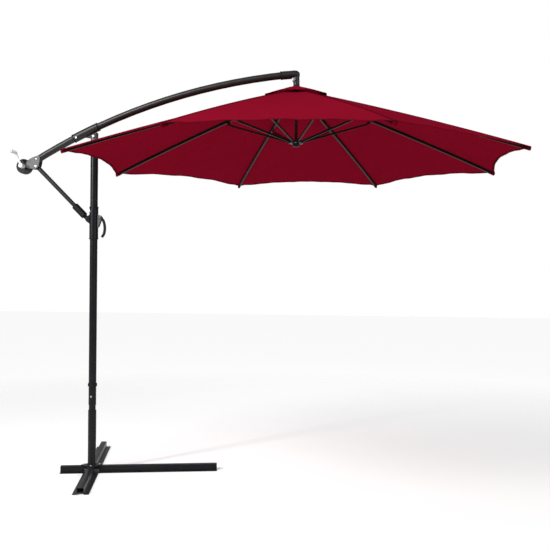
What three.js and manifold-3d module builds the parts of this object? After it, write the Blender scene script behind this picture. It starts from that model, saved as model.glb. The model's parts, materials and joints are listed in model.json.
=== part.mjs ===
// Cantilever patio umbrella on a cross base. Units are millimetres, +Z is up.
// The origin is the foot of the pole on the ground, and +X points along the arm towards the canopy.
import * as THREE from 'three';
import { mergeVertices } from 'three/addons/utils/BufferGeometryUtils.js';
import Module from 'manifold-3d';

const wasm = await Module();
wasm.setup();

// ---- Driving dimensions -------------------------------------------------------------------
const GAP = 0.3; // running gap between neighbouring pieces
const PIN_GAP = 0.5; // play of a rib or strut on its hinge wire
const DEG = Math.PI / 180;

// Cross base: two inverted hat sections, half-lapped under the pole
const BASE_TURN = 11.5 * DEG; // the cross stands turned from the arm's direction
const BAR = { web: 40, height: 40, flange: 28, wall: 2, bend: 4 };
const LONG_BAR = { from: -194, to: 798 };
const CROSS_BAR = { from: -542, to: 729 };
const TIE = { width: 35.4, length: 96, thick: 3 };
const FOOT = { size: 96, thick: 5, boltRadius: 48, bolt: 4, head: 6.5, headHeight: 5.5, hub: 20 };

// Pole
const POLE = { radius: 24, wall: 2, bottom: 428, top: 2100 };
const LOWER = { radius: 26, bore: 22, top: 394 };
const SPIGOT = { radius: 21.7, wall: 2.2, bottom: 290, top: 640 };
const COLLAR = { radius: 29, bottom: 547, top: 565 };
const JOINT_BOLT = { z: 483, radius: 3, head: 6, headHeight: 4 };
const POLE_TOP = { top: 2166, plugFrom: 2060, core: 16, slot: 13.2, slotFrom: 2118 };
const PIVOT_BOLT = { radius: 5, head: 8.5, headHeight: 5.7 };

// Arm: one circular arc in the XZ plane
const ARM_ARC = { x: 1556, z: -1219, radius: 3751.6 };
const ARM = { radius: 22, wall: 1.5, fit: 0.8, low: -395, split: -60, high: 1240 };
const ARM_SLEEVE = { radius: 27, low: -130, high: 20 };
const SLEEVE_BOLT = { x: -112, drop: 8, radius: 4, head: 6.5, headHeight: 4 };
const SLEEVE_WEB = 12; // thickness of the sleeve's lug between the pole top's cheeks
const END_SCREW = { x: -374, radius: 3 };
const END_BRACKET = { wall: 4, bridge: [-408, -404] };
const TILT_PIVOT = { x: 0, z: 2142 };
const STRUT_TOP = { x: -376, z: 1951 };
const STRUT_BOLT = { radius: 4, head: 7, headHeight: 4.7 };
const ELBOW = { radius: 26, from: 1200, low: 2452, corner: 4, cordHole: 9 };

// Slider, lever and strut
const SLIDER = { radius: 28, low: 1494, high: 1686 };
const STRUT_FOOT = { x: -40, z: 1615 };
const EAR = { inner: 8.3, outer: 13, pin: 4 };
const LEVER_PIVOT = { x: 46, z: 1624 };
const LEVER = { thick: 13, half: 7.8, head: 8.5, pin: 3, cheek: [8.3, 12.3] };
const STRUT = { radius: 14, wall: 1.5, coupling: 22, couplingFrom: 30, couplingTo: 120 };
const STRUT_END = { eye: 11, eyeHalf: 8, ring: 13, ringHalf: 14, ringBore: 7.5 };

// Crank
const DRUM = { x: -460, z: 1952, radius: 47.5, halfWidth: 22, wall: 3, lip: 2, boss: 10 };
const SPOOL = { radius: 20, cheek: 34, half: 12, cheekThick: 3 };
const CRANK = { reach: 92, angle: 114 * DEG, front: -60, handle: 84, axle: 5, hub: 15, bar: 7.5, eye: 10.5 };
const KNOB = { radius: 11, pin: 4, short: 6 };

// Canopy frame
const AXIS_X = 1292; // reach of the canopy's centre line from the pole
const RIBS = 8;
const TIP_RADIUS = 1420;
const TIP_Z = 1974;
const SLOPE = 17.7 * DEG; // every rib's fall from the crown to its tip
const PIVOT_RADIUS = 35; // rib hinges on the crown, and strut hinges on the runner
const LINK = 475; // hinge to joint on a rib, and the same along its strut
const RIB = { width: 12, height: 18, lift: 18, wall: 0.8, start: 14, bow: 12 };
const STRETCHER = { width: 10, height: 12, wall: 0.8, start: 14 };
const HUB = { radius: 46, half: 8, slot: 7.2, slotDepth: 25, eye: 6.4, tab: 6, pin: 2 };
const CROWN_BOSS = { wall: 5, height: 16 };
const RUNNER = { skirt: 22, skirtLow: -26, cap: 12, capLow: -30, cordHole: 5 };
const DROP = { radius: 17, wall: 3, leg: 20 };
const POST = { radius: 9.5, wall: 1.5 };

// Canopy fabric
const CLOTH = { thick: 1, clear: 0.8, vent: 150, scallop: 62 };
const CAP = { radius: 205, hole: 21, edgeZ: 2384, rise: 0.33 };

// Heights that follow from the rib's length and slope
const clothLift = RIB.lift + RIB.height / 2 + CLOTH.clear;
const ribLength = (TIP_RADIUS - PIVOT_RADIUS - clothLift * Math.sin(SLOPE)) / Math.cos(SLOPE);
const crownZ = TIP_Z + ribLength * Math.sin(SLOPE) - clothLift * Math.cos(SLOPE);
const runnerZ = crownZ - 2 * LINK * Math.sin(SLOPE);

// ---- Finishes -----------------------------------------------------------------------------
const FINISHES = {
  black: { color: 0x26262a, roughness: 0.45, metalness: 0.6 },
  bronze: { color: 0x2e2a2b, roughness: 0.4, metalness: 0.6 },
  grey: { color: 0x77757a, roughness: 0.5, metalness: 0.6 },
  plastic: { color: 0x17181a, roughness: 0.5, metalness: 0 },
  handle: { color: 0xd8dde0, roughness: 0.35, metalness: 0.1 },
  steel: { color: 0xc8cacc, roughness: 0.3, metalness: 1 },
  rib: { color: 0x2c3330, roughness: 0.45, metalness: 0.6 },
  cloth: { color: 0x8a1028, roughness: 0.85, metalness: 0 },
};

// ---- Solids -------------------------------------------------------------------------------
function toSolid(geometry) {
  const bare = geometry.clone();
  bare.deleteAttribute('normal');
  bare.deleteAttribute('uv');
  const merged = mergeVertices(bare, 1e-4);
  const vertProperties = new Float32Array(merged.attributes.position.array);
  const triVerts = new Uint32Array(merged.index.array);
  return new wasm.Manifold(new wasm.Mesh({ numProp: 3, vertProperties, triVerts }));
}

function toGeometry(solid) {
  const mesh = solid.getMesh();
  const geometry = new THREE.BufferGeometry();
  geometry.setAttribute('position', new THREE.BufferAttribute(new Float32Array(mesh.vertProperties), 3));
  geometry.setIndex(new THREE.BufferAttribute(new Uint32Array(mesh.triVerts), 1));
  geometry.computeVertexNormals();
  return geometry;
}

const join = (...solids) => solids.reduce((whole, piece) => whole.add(piece));
const cut = (body, ...tools) => tools.reduce((whole, tool) => whole.subtract(tool), body);

function block([x0, x1], [y0, y1], [z0, z1]) {
  const geometry = new THREE.BoxGeometry(x1 - x0, y1 - y0, z1 - z0);
  geometry.translate((x0 + x1) / 2, (y0 + y1) / 2, (z0 + z1) / 2);
  return toSolid(geometry);
}

// A round bar between two points
function rod(radius, from, to, sides = 20) {
  const start = new THREE.Vector3(...from);
  const along = new THREE.Vector3(...to).sub(start);
  const geometry = new THREE.CylinderGeometry(radius, radius, along.length(), sides);
  geometry.translate(0, along.length() / 2, 0);
  const upright = new THREE.Vector3(0, 1, 0);
  geometry.applyQuaternion(new THREE.Quaternion().setFromUnitVectors(upright, along.clone().normalize()));
  geometry.translate(start.x, start.y, start.z);
  return toSolid(geometry);
}

// A pipe between two points, open at both ends
function pipe(radius, bore, from, to, sides = 24) {
  const start = new THREE.Vector3(...from);
  const end = new THREE.Vector3(...to);
  const past = end.clone().sub(start).normalize();
  const inside = rod(bore, start.clone().sub(past).toArray(), end.clone().add(past).toArray(), sides);
  return cut(rod(radius, from, to, sides), inside);
}

const alongY = (radius, x, z, y0, y1, sides = 20) => rod(radius, [x, y0, z], [x, y1, z], sides);
const alongZ = (radius, x, y, z0, z1, sides = 24) => rod(radius, [x, y, z0], [x, y, z1], sides);

// A bolt along Y with a head outside each of the two faces at y = -face and y = face
function throughBolt({ radius, head, headHeight }, x, z, face, headSides = 6) {
  const shank = alongY(radius, x, z, -face - 1, face + 1, 16);
  const heads = [-1, 1].map((side) => alongY(head, x, z, side * face, side * (face + headHeight), headSides));
  return join(shank, ...heads);
}

// A closed outline with rounded corners. Each corner is [x, y, radius].
function rounded(corners) {
  const shape = new THREE.Shape();
  const count = corners.length;
  corners.forEach(([x, y, radius = 0], index) => {
    const corner = new THREE.Vector2(x, y);
    const before = new THREE.Vector2(...corners[(index + count - 1) % count]);
    const after = new THREE.Vector2(...corners[(index + 1) % count]);
    const enter = corner.clone().add(before.sub(corner).setLength(radius));
    const leave = corner.clone().add(after.sub(corner).setLength(radius));
    if (index === 0) {
      shape.moveTo(enter.x, enter.y);
    } else {
      shape.lineTo(enter.x, enter.y);
    }
    if (radius > 0) {
      shape.quadraticCurveTo(corner.x, corner.y, leave.x, leave.y);
    }
  });
  shape.closePath();
  return shape;
}

// A plate whose outline lies in XZ, from y0 to y1
function plateXZ(shape, y0, y1, curveSegments = 2) {
  const geometry = new THREE.ExtrudeGeometry(shape, { depth: y1 - y0, bevelEnabled: false, curveSegments });
  geometry.rotateX(Math.PI / 2);
  geometry.translate(0, y1, 0);
  return toSolid(geometry);
}

// A straight section along X: the outline's x is Y and its y is Z
function barX(shape, x0, x1, curveSegments = 2) {
  const geometry = new THREE.ExtrudeGeometry(shape, { depth: x1 - x0, bevelEnabled: false, curveSegments });
  const axes = [new THREE.Vector3(0, 1, 0), new THREE.Vector3(0, 0, 1), new THREE.Vector3(1, 0, 0)];
  geometry.applyMatrix4(new THREE.Matrix4().makeBasis(...axes));
  geometry.translate(x0, 0, 0);
  return toSolid(geometry);
}

function turnedAboutZ(solid, angle) {
  const geometry = toGeometry(solid);
  geometry.rotateZ(angle);
  return toSolid(geometry);
}

// ---- The assembly -------------------------------------------------------------------------
const umbrella = new THREE.Group();
const arm = new THREE.Group();
umbrella.add(arm);

function add(name, solid, finish, parent = umbrella) {
  const material = new THREE.MeshStandardMaterial(FINISHES[finish]);
  material.name = finish;
  const mesh = new THREE.Mesh(toGeometry(solid), material);
  mesh.name = name;
  parent.add(mesh);
}

// ---- Cross base ---------------------------------------------------------------------------
function hatSection() {
  const half = BAR.web / 2;
  const inner = half - BAR.wall;
  const edge = half + BAR.flange;
  const top = BAR.height;
  const under = BAR.height - BAR.wall;
  const { wall, bend } = BAR;
  return rounded([
    [-edge, 0], [-inner, 0, 1], [-inner, under, 2], [inner, under, 2], [inner, 0, 1], [edge, 0],
    [edge, wall], [half, wall, 2], [half, top, bend], [-half, top, bend], [-half, wall, 2], [-edge, wall],
  ]);
}

function buildBase() {
  const base = new THREE.Group();
  base.rotation.z = BASE_TURN;
  umbrella.add(base);

  const half = BAR.web / 2;
  const edge = half + BAR.flange;
  const lap = BAR.height / 2;
  const footTop = BAR.height + GAP + FOOT.thick;
  const holes = [0, 1, 2, 3].map((quarter) => {
    const angle = (quarter * Math.PI) / 2;
    return [FOOT.boltRadius * Math.cos(angle), FOOT.boltRadius * Math.sin(angle)];
  });
  const drilled = holes.map(([x, y]) => alongZ(FOOT.bolt + GAP, x, y, BAR.height - 10, footTop + 1, 10));

  const longRun = barX(hatSection(), LONG_BAR.from, LONG_BAR.to);
  const notchBelow = block([-edge - GAP, edge + GAP], [-edge - 1, edge + 1], [-1, lap]);
  add('base_bar_long', cut(longRun, notchBelow, ...drilled), 'black', base);

  const crossRun = turnedAboutZ(barX(hatSection(), CROSS_BAR.from, CROSS_BAR.to), Math.PI / 2);
  const notchAbove = block([-half - 1, half + 1], [-half - GAP, half + GAP], [lap - GAP, BAR.height + 1]);
  add('base_bar_cross', cut(crossRun, notchAbove, ...drilled), 'black', base);

  const tie = { x: TIE.width / 2, y: TIE.length / 2 };
  add('base_tie_plate', block([-tie.x, tie.x], [-tie.y, tie.y], [0, TIE.thick]), 'black', base);

  holes.forEach(([x, y], index) => {
    const shank = alongZ(FOOT.bolt, x, y, BAR.height - 12, footTop + GAP + 1, 10);
    const head = alongZ(FOOT.head, x, y, footTop + GAP, footTop + GAP + FOOT.headHeight, 6);
    const nutTop = BAR.height - BAR.wall - GAP;
    const nut = alongZ(FOOT.head, x, y, nutTop - FOOT.headHeight, nutTop, 6);
    add(`base_bolt_${index + 1}`, join(shank, head, nut), 'steel', base);
  });

  const side = FOOT.size / 2;
  const plate = turnedAboutZ(block([-side, side], [-side, side], [BAR.height + GAP, footTop]), Math.PI / 4);
  const tube = pipe(LOWER.radius, LOWER.bore, [0, 0, footTop - 1], [0, 0, LOWER.top], 24);
  const drain = alongZ(FOOT.hub, 0, 0, BAR.height, footTop + 2, 24);
  add('pole_lower', cut(join(plate, tube), drain, ...drilled), 'black', base);
}

// ---- Pole ---------------------------------------------------------------------------------
function buildPole() {
  const bore = POLE.radius - POLE.wall;
  const cross = alongY(JOINT_BOLT.radius + GAP, 0, JOINT_BOLT.z, -POLE.radius - 5, POLE.radius + 5, 12);
  const upper = pipe(POLE.radius, bore, [0, 0, POLE.bottom], [0, 0, POLE.top], 24);
  add('pole_upper', cut(upper, cross), 'black');

  const spigotBore = SPIGOT.radius - SPIGOT.wall;
  const spigot = pipe(SPIGOT.radius, spigotBore, [0, 0, SPIGOT.bottom], [0, 0, SPIGOT.top], 16);
  add('pole_joint_spigot', cut(spigot, cross), 'plastic');

  const ring = pipe(COLLAR.radius, POLE.radius + GAP, [0, 0, COLLAR.bottom], [0, 0, COLLAR.top], 24);
  add('pole_joint_collar', ring, 'plastic');

  add('pole_joint_bolt', throughBolt(JOINT_BOLT, 0, JOINT_BOLT.z, POLE.radius + GAP, 16), 'steel');
}

function buildPoleTop() {
  const { x, z } = TILT_PIVOT;
  const { radius, wall, top: tubeTop } = POLE;
  const fork = rounded([
    [-radius, tubeTop + GAP], [radius, tubeTop + GAP], [radius, POLE_TOP.top, 3], [14, POLE_TOP.top, 3],
    [-10, z + 6, 4], [-radius, z - 8, 3],
  ]);
  const cheeks = plateXZ(fork, -radius, radius);
  const roundTo = alongZ(radius, 0, 0, tubeTop - 50, POLE_TOP.top + 14, 24);
  const slotHalf = POLE_TOP.slot / 2;
  const past = radius + 6;
  const slot = block([-past, past], [-slotHalf, slotHalf], [POLE_TOP.slotFrom, POLE_TOP.top + 14]);
  const bore = alongY(PIVOT_BOLT.radius + GAP, x, z, -40, 40, 16);
  const plug = alongZ(radius - wall - GAP, 0, 0, POLE_TOP.plugFrom, tubeTop + 1, 24);
  const hollow = alongZ(POLE_TOP.core, 0, 0, POLE_TOP.plugFrom - 5, tubeTop - 5, 16);
  const casting = join(cheeks.intersect(roundTo), plug);
  add('pole_top_bracket', cut(casting, slot, bore, hollow), 'grey');
  add('arm_pivot_bolt', throughBolt(PIVOT_BOLT, x, z, radius + GAP), 'steel');
}

// ---- Arm ----------------------------------------------------------------------------------
// The arm's centre line between two values of x
class ArmCurve extends THREE.Curve {
  constructor(from, to) {
    super();
    const angle = (x) => Math.acos((x - ARM_ARC.x) / ARM_ARC.radius);
    this.start = angle(from);
    this.end = angle(to);
  }

  getPoint(t, target = new THREE.Vector3()) {
    const angle = this.start + t * (this.end - this.start);
    const x = ARM_ARC.x + ARM_ARC.radius * Math.cos(angle);
    const z = ARM_ARC.z + ARM_ARC.radius * Math.sin(angle);
    return target.set(x, 0, z);
  }
}

function bentBar(radius, from, to, steps, sides) {
  const section = new THREE.Shape();
  const corners = [];
  for (let k = 0; k < sides; k += 1) {
    const angle = (k * 2 * Math.PI) / sides;
    corners.push(new THREE.Vector2(radius * Math.cos(angle), radius * Math.sin(angle)));
  }
  section.setFromPoints(corners);
  section.closePath();
  const settings = { steps, extrudePath: new ArmCurve(from, to), bevelEnabled: false };
  return toSolid(new THREE.ExtrudeGeometry(section, settings));
}

function bentPipe(radius, bore, from, to, steps, sides) {
  return cut(bentBar(radius, from, to, steps, sides), bentBar(bore, from - 2, to + 2, steps, sides));
}

function armPoint(x) {
  const reach = x - ARM_ARC.x;
  return [x, 0, ARM_ARC.z + Math.sqrt(ARM_ARC.radius ** 2 - reach ** 2)];
}

function buildArm() {
  const bore = ARM.radius - ARM.wall;
  const boltZ = armPoint(SLEEVE_BOLT.x)[2] - SLEEVE_BOLT.drop;
  const boltHole = alongY(SLEEVE_BOLT.radius + GAP, SLEEVE_BOLT.x, boltZ, -30, 30, 12);
  const screw = armPoint(END_SCREW.x);
  const screwHole = alongY(END_SCREW.radius + GAP, screw[0], screw[2], -40, 40, 12);
  const lower = bentPipe(ARM.radius, bore, ARM.low, ARM.split - GAP, 4, 20);
  const upper = bentPipe(ARM.radius, bore, ARM.split, ARM.high, 12, 20);
  add('arm_tube_lower', cut(lower, boltHole, screwHole), 'bronze', arm);
  add('arm_tube_upper', upper, 'bronze', arm);

  const { radius, low, high } = ARM_SLEEVE;
  const sleeve = bentPipe(radius, ARM.radius + ARM.fit, low, high, 3, 20);
  const { x, z } = TILT_PIVOT;
  const lug = rounded([
    [x - 12, z - 12, 8], [x + 12, z - 12, 8], [x + 14, z + 60], [x - 84, z + 30], [x - 74, z - 4, 4],
  ]);
  const core = bentBar(radius - 2.5, low - 30, high + 30, 3, 20);
  const pivotHole = alongY(PIVOT_BOLT.radius + GAP, x, z, -20, 20, 16);
  const web = cut(plateXZ(lug, -SLEEVE_WEB / 2, SLEEVE_WEB / 2), core, pivotHole);
  add('arm_sleeve', cut(join(sleeve, web), boltHole), 'bronze', arm);
  add('arm_sleeve_bolt', throughBolt(SLEEVE_BOLT, SLEEVE_BOLT.x, boltZ, radius + GAP, 12), 'steel', arm);
}

// The bracket at the arm's low end carries the crank drum and the strut's top bolt
function buildArmEnd() {
  const { x, z } = STRUT_TOP;
  const inner = DRUM.halfWidth + GAP;
  const outer = inner + END_BRACKET.wall;
  const cheek = rounded([
    [-446, 1968, 8], [-424, 1996, 12], [-392, 2012, 8], [-354, 2024, 8], [-350, 1998, 10],
    [x + 15, z - 6, 10], [x - 2, z - 17, 8], [-424, 1938, 8], [-444, 1944, 8],
  ]);
  const hole = alongY(STRUT_BOLT.radius + GAP, x, z, -40, 40, 16);
  const cheeks = [[-outer, -inner], [inner, outer]].map(([y0, y1]) => plateXZ(cheek, y0, y1));
  const bridge = block(END_BRACKET.bridge, [-outer + 1, outer - 1], [1946, 1984]);
  const screw = armPoint(END_SCREW.x);
  const screwPin = alongY(END_SCREW.radius, screw[0], screw[2], -outer + 1, outer - 1, 12);
  add('arm_end_bracket', join(cut(join(...cheeks, bridge), hole), screwPin), 'grey', arm);
  add('strut_top_bolt', throughBolt(STRUT_BOLT, x, z, outer + GAP), 'steel', arm);
}

function buildCrank() {
  const { x, z, radius, halfWidth, wall, lip } = DRUM;
  const axleHole = alongY(CRANK.axle + GAP, x, z, -40, 40, 14);
  const cordMouth = rod(13, [x, 0, z], armPoint(-400), 10);
  [['front', -1], ['rear', 1]].forEach(([name, side]) => {
    const shell = alongY(radius, x, z, side * GAP / 2, side * halfWidth, 24);
    const cavity = alongY(radius - wall, x, z, side * -1, side * (halfWidth - wall), 24);
    const boss = alongY(DRUM.boss, x, z, side * (halfWidth - wall - 5), side * (halfWidth - 1), 14);
    const rim = cut(
      alongY(radius - 6, x, z, side * (halfWidth - 1), side * (halfWidth + lip), 24),
      alongY(radius - 12, x, z, side * halfWidth, side * (halfWidth + 5), 24),
      block([x + 10, x + 80], [-60, 60], [z - 52, z + 88]),
    );
    const body = cut(join(cut(shell, cavity), boss, rim), axleHole, cordMouth);
    add(`crank_housing_${name}`, body, 'plastic', arm);
  });

  const core = alongY(SPOOL.radius, x, z, -SPOOL.half, SPOOL.half, 18);
  const cheeks = [-1, 1].map((side) => (
    alongY(SPOOL.cheek, x, z, side * (SPOOL.half - SPOOL.cheekThick), side * SPOOL.half, 22)
  ));
  add('cord_spool', cut(join(core, ...cheeks), axleHole), 'plastic', arm);

  const { front, handle, reach, angle, bar } = CRANK;
  const tip = [x + reach * Math.cos(angle), z + reach * Math.sin(angle)];
  const axle = alongY(CRANK.axle, x, z, front - 2, halfWidth - wall, 14);
  const hub = alongY(CRANK.hub, x, z, front - bar, -halfWidth - lip - 3, 24);
  const web = rod(bar, [x, front, z], [tip[0], front, tip[1]], 12);
  const stub = rod(KNOB.pin, [tip[0], front + bar, tip[1]], [tip[0], front - handle, tip[1]], 12);
  const eye = alongY(CRANK.eye, tip[0], tip[1], front - bar, front + bar, 16);
  add('crank_arm', join(axle, hub, web, eye, stub), 'handle', arm);

  const start = front - bar - GAP;
  const grip = alongY(KNOB.radius, tip[0], tip[1], start, front - handle + KNOB.short, 16);
  const bore = alongY(KNOB.pin + GAP, tip[0], tip[1], start + 1, front - handle - 10, 12);
  add('crank_knob', cut(grip, bore), 'handle', arm);
}

function buildElbow() {
  const { radius, low, cordHole } = ELBOW;
  const top = armPoint(AXIS_X - 30)[2];
  const corner = [AXIS_X - ELBOW.corner, 0, top];
  const socket = rod(radius, armPoint(ELBOW.from), corner, 20);
  const crown = new THREE.SphereGeometry(radius, 14, 7);
  crown.translate(...corner);
  const leg = alongZ(DROP.leg, AXIS_X, 0, low, top, 20);
  const armBore = bentBar(ARM.radius + ARM.fit, ELBOW.from - 20, ARM.high + 2, 1, 20);
  const legBore = alongZ(DROP.radius + GAP, AXIS_X, 0, low - 52, low + 48, 20);
  const downWay = alongZ(cordHole, AXIS_X, 0, low + 38, top, 10);
  const armWay = rod(cordHole, armPoint(ARM.high - 10), [AXIS_X, 0, top - 2], 10);
  const body = join(socket, toSolid(crown), leg);
  add('elbow_casting', cut(body, armBore, legBore, downWay, armWay), 'bronze', arm);

  const seat = [AXIS_X, 0, crownZ + HUB.half + GAP];
  const drop = pipe(DROP.radius, DROP.radius - DROP.wall, seat, [AXIS_X, 0, low + 47], 20);
  add('drop_link', drop, 'bronze', arm);
}

// ---- Slider, lever and strut --------------------------------------------------------------
function buildSlider() {
  const tube = pipe(SLIDER.radius, POLE.radius + GAP, [0, 0, SLIDER.low], [0, 0, SLIDER.high], 24);
  const { x, z } = STRUT_FOOT;
  const ear = rounded([[x - 12, z + 8, 8], [x - 12, z - 10, 8], [x + 14, z - 30, 2], [x + 14, z + 28, 2]]);
  const ears = [[-EAR.outer, -EAR.inner], [EAR.inner, EAR.outer]].map(([y0, y1]) => plateXZ(ear, y0, y1));
  const keepOut = alongZ(SLIDER.radius - 1, 0, 0, SLIDER.low - 1, SLIDER.high + 1, 24);
  const pin = alongY(EAR.pin, x, z, -EAR.outer - 2, EAR.outer + 2, 16);
  add('slider_sleeve', join(tube, cut(join(...ears), keepOut), pin), 'black');

  const pivot = LEVER_PIVOT;
  const [cheekInner, cheekOuter] = LEVER.cheek;
  const high = pivot.z + 18;
  const low = pivot.z - 62;
  const cheek = rounded([
    [SLIDER.radius, high, 2], [pivot.x + 2, high - 4, 6], [pivot.x + 9, pivot.z - 2, 6], [34, low + 4, 4],
    [SLIDER.radius, low, 2],
  ]);
  const sides = [-1, 1].map((side) => (
    plateXZ(cheek, ...[side * cheekInner, side * cheekOuter].sort((a, b) => a - b))
  ));
  const back = block([SLIDER.radius, SLIDER.radius + 4], [-cheekOuter, cheekOuter], [low, high]);
  const clear = alongZ(SLIDER.radius + GAP, 0, 0, SLIDER.low, SLIDER.high, 24);
  const hinge = alongY(LEVER.pin, pivot.x, pivot.z, -cheekOuter - 1.2, cheekOuter + 1.2, 12);
  add('lever_bracket', cut(join(...sides, back, hinge), clear), 'grey');

  const bends = [[pivot.x, pivot.z], [61, 1608], [70, 1580], [72, 1548], [66, 1518], [53, 1500]];
  const path = new THREE.CatmullRomCurve3(bends.map(([px, pz]) => new THREE.Vector3(px, 0, pz)));
  const { thick, half } = LEVER;
  const edge = thick / 2;
  const section = rounded([[-edge, -half, 2], [edge, -half, 2], [edge, half, 2], [-edge, half, 2]]);
  const settings = { steps: 12, extrudePath: path, bevelEnabled: false, curveSegments: 2 };
  const blade = toSolid(new THREE.ExtrudeGeometry(section, settings));
  const head = alongY(LEVER.head, pivot.x, pivot.z, -half, half, 20);
  const pinHole = alongY(LEVER.pin + GAP, pivot.x, pivot.z, -20, 20, 12);
  add('slider_lever', cut(join(blade, head), pinHole), 'plastic');
}

function buildStrut() {
  const foot = new THREE.Vector3(STRUT_FOOT.x, 0, STRUT_FOOT.z);
  const top = new THREE.Vector3(STRUT_TOP.x, 0, STRUT_TOP.z);
  const length = foot.distanceTo(top);
  const at = (distance) => foot.clone().lerp(top, distance / length).toArray();
  const { radius, wall, coupling, couplingFrom, couplingTo } = STRUT;
  const { eyeHalf, ringHalf } = STRUT_END;

  const eye = alongY(STRUT_END.eye, foot.x, foot.z, -eyeHalf, eyeHalf, 20);
  const shank = rod(radius - 0.5, at(6), at(couplingFrom + 30), 20);
  const flats = [[-40, -eyeHalf], [eyeHalf, 40]].map((side) => (
    block([foot.x - 26, foot.x + 20], side, [foot.z - 20, foot.z + 26])
  ));
  const fork = join(eye, cut(shank, ...flats));
  add('strut_foot', cut(fork, alongY(EAR.pin + GAP, foot.x, foot.z, -20, 20, 16)), 'black');

  const grip = rod(coupling, at(couplingFrom), at(couplingTo), 20);
  const gripBore = rod(radius + GAP, at(couplingFrom - 5), at(couplingTo + 5), 16);
  add('strut_coupling', cut(grip, gripBore), 'plastic');

  const tube = rod(radius, at(couplingFrom + 32), at(length - 8), 16);
  const bore = rod(radius - wall, at(couplingFrom), at(length - 24), 12);
  const ring = alongY(STRUT_END.ring, top.x, top.z, -ringHalf, ringHalf, 18);
  const hole = alongY(STRUT_END.ringBore, top.x, top.z, -20, 20, 14);
  add('strut_tube', cut(join(cut(tube, bore), ring), hole), 'bronze');
}

// ---- Canopy frame -------------------------------------------------------------------------
// A hub disc on the canopy's axis, with a slot and a hinge pin for each of the ribs
function hubDisc(top, bottom, bore) {
  const slots = [];
  const pins = [];
  for (let k = 0; k < RIBS; k += 1) {
    const slot = block([HUB.slotDepth, HUB.radius + 5], [-HUB.slot / 2, HUB.slot / 2], [-40, 40]);
    slots.push(turnedAboutZ(slot, ribAngle(k)));
    const pin = alongY(HUB.pin, PIVOT_RADIUS, 0, -HUB.slot / 2 - 1, HUB.slot / 2 + 1, 6);
    pins.push(turnedAboutZ(pin, ribAngle(k)));
  }
  const disc = cut(alongZ(HUB.radius, 0, 0, bottom, top, 24), ...slots);
  return cut(join(disc, ...pins), alongZ(bore, 0, 0, -60, 60, 16));
}

const ribAngle = (k) => ((2 * k + 1) * Math.PI) / RIBS;

// A hollow bar of rectangular section along X, bowed upwards by `bow` at its middle
function hollowBar(width, height, wall, from, to, lift, bow, steps) {
  const frame = (w, h, shrink) => {
    const shape = rounded([[-w / 2, -h / 2], [w / 2, -h / 2], [w / 2, h / 2], [-w / 2, h / 2]]);
    const settings = { depth: to - from + 2 * shrink, steps, bevelEnabled: false };
    const geometry = new THREE.ExtrudeGeometry(shape, settings);
    const axes = [new THREE.Vector3(0, 1, 0), new THREE.Vector3(0, 0, 1), new THREE.Vector3(1, 0, 0)];
    geometry.applyMatrix4(new THREE.Matrix4().makeBasis(...axes));
    geometry.translate(from - shrink, 0, lift);
    const points = geometry.attributes.position;
    for (let i = 0; i < points.count; i += 1) {
      const along = (points.getX(i) - from) / (to - from);
      points.setZ(i, points.getZ(i) + 4 * bow * along * (1 - along));
    }
    return toSolid(geometry);
  };
  return cut(frame(width, height, 0), frame(width - 2 * wall, height - 2 * wall, 1));
}

function ribSolid() {
  const end = ribLength - 6;
  const bar = hollowBar(RIB.width, RIB.height, RIB.wall, RIB.start, end, RIB.lift, RIB.bow, 5);
  const root = rounded([
    [-HUB.eye, -HUB.eye, 5], [5, -HUB.eye, 4], [26, RIB.lift - 8.6], [26, RIB.lift + 4], [12, RIB.lift + 4],
    [-HUB.eye, HUB.eye, 5],
  ]);
  const tab = plateXZ(root, -HUB.tab / 2, HUB.tab / 2);
  const bowAt = 4 * RIB.bow * (LINK / ribLength) * (1 - LINK / ribLength);
  const under = RIB.lift - RIB.height / 2 + bowAt;
  const ear = rounded([[LINK - 5, -5, 4], [LINK + 5, -5, 4], [LINK + 14, under + 1], [LINK - 14, under + 1]]);
  const lug = plateXZ(ear, -2, 2);
  const eye = alongY(HUB.pin + PIN_GAP, 0, 0, -10, 10, 8);
  const joint = alongY(HUB.pin, LINK, 0, -STRETCHER.width / 2, STRETCHER.width / 2, 8);
  return join(cut(join(bar, tab, lug), eye), joint);
}

function stretcherSolid() {
  const { width, height, wall, start } = STRETCHER;
  const bar = hollowBar(width, height, wall, start, LINK - 16, 0, 0, 1);
  const grip = (height - wall) / 2;
  const root = rounded([[-5, -5, 4], [24, -grip], [24, grip], [-5, 5, 4]]);
  const tab = plateXZ(root, -HUB.tab / 2, HUB.tab / 2);
  const inner = alongY(HUB.pin + PIN_GAP, 0, 0, -10, 10, 8);
  const outer = alongY(HUB.pin + PIN_GAP, LINK, 0, -10, 10, 8);
  const prong = rounded([[LINK - 26, -4.5], [LINK + 4.6, -4.6, 4], [LINK + 4.6, 4.6, 4], [LINK - 26, 4.5]]);
  const forks = [[-width / 2, -2.4], [2.4, width / 2]].map(([y0, y1]) => plateXZ(prong, y0, y1));
  return cut(join(bar, tab, ...forks), inner, outer);
}

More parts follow.
